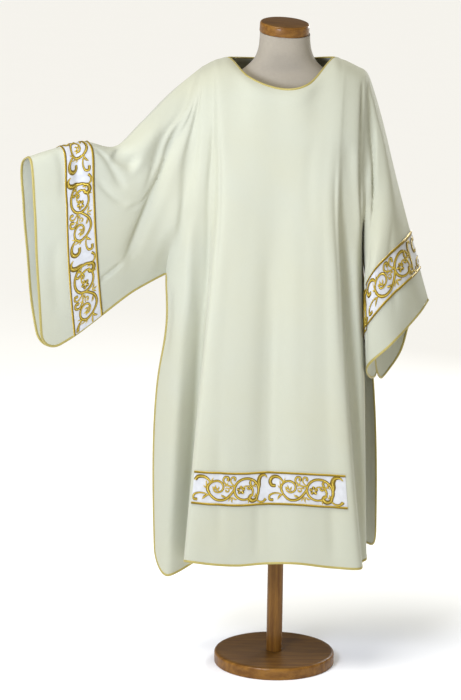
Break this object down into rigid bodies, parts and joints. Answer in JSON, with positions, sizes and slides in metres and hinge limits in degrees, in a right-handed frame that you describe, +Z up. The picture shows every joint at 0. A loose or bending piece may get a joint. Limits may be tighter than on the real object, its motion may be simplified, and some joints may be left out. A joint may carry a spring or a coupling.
{
  "type": "dalmatic on a limbless dress form",
  "caption": "T-shaped vestment with wide sleeves, side slits, gold binding and embroidered bands, worn by a linen dress form on a wooden pole and foot.",
  "frame": {"origin": "centre of the round foot's underside", "axes": "+Z up the pole, -Y towards the garment's front, +X towards the hanging sleeve"},
  "size_m": [0.9906, 0.4468, 1.633],
  "materials": {
    "cream_cloth": "matte fine weave",
    "gold_binding": "stitched gold thread",
    "white_satin_band": "satin with gold embroidery",
    "linen": "matte plain weave",
    "honey_wood": "varnished"
  },
  "bodies": {
    "root": {"front_panel": "cream_cloth", "back_panel": "cream_cloth", "neck_binding": "gold_binding", "front_edge_binding": "gold_binding", "back_edge_binding": "gold_binding", "left_sleeve_band": "white_satin_band", "right_sleeve_band": "white_satin_band", "hem_band": "white_satin_band", "form_torso": "linen", "form_neck_cap": "honey_wood", "form_pole": "honey_wood", "form_base": "honey_wood"}
  },
  "joints": []
}
